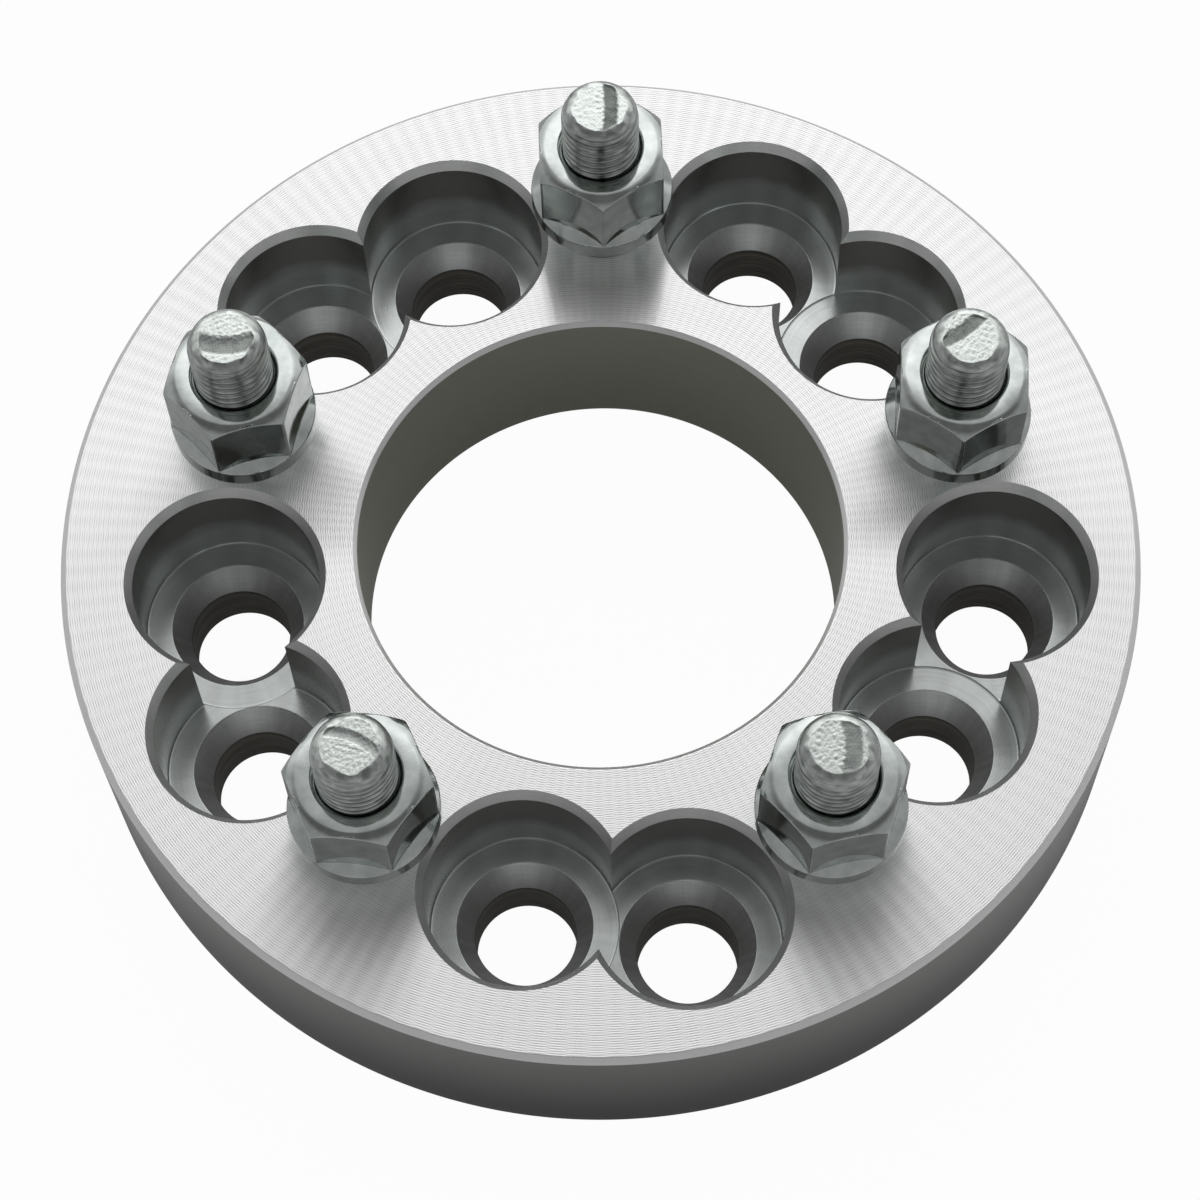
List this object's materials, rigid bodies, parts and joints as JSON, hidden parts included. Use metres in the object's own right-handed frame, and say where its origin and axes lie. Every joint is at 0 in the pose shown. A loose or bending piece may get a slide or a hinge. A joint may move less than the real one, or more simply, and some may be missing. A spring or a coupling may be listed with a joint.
{
  "type": "wheel spacer",
  "caption": "Round aluminium plate with stepped lug holes, pressed-in wheel studs and conical-seat nuts, bolted between a hub and a wheel to space them apart.",
  "frame": {"origin": "centre of the hub face, on the axis of the centre bore", "axes": "+Z along the bore's axis from the hub face to the wheel face, +Y towards the first stud"},
  "size_m": [0.164, 0.164, 0.0617],
  "materials": {
    "turned_aluminium": "fine-turned, with concentric tool marks on the faces",
    "stud_steel": "zinc-plated, with rolled threads and rough forged ends",
    "zinc_plated_nut": "bright zinc plating"
  },
  "bodies": {
    "root": {"spacer_plate": "turned_aluminium", "wheel_stud_1": "stud_steel", "wheel_stud_2": "stud_steel", "wheel_stud_3": "stud_steel", "wheel_stud_4": "stud_steel", "wheel_stud_5": "stud_steel", "lug_nut_1": "zinc_plated_nut", "lug_nut_2": "zinc_plated_nut", "lug_nut_3": "zinc_plated_nut", "lug_nut_4": "zinc_plated_nut", "lug_nut_5": "zinc_plated_nut"}
  },
  "joints": []
}
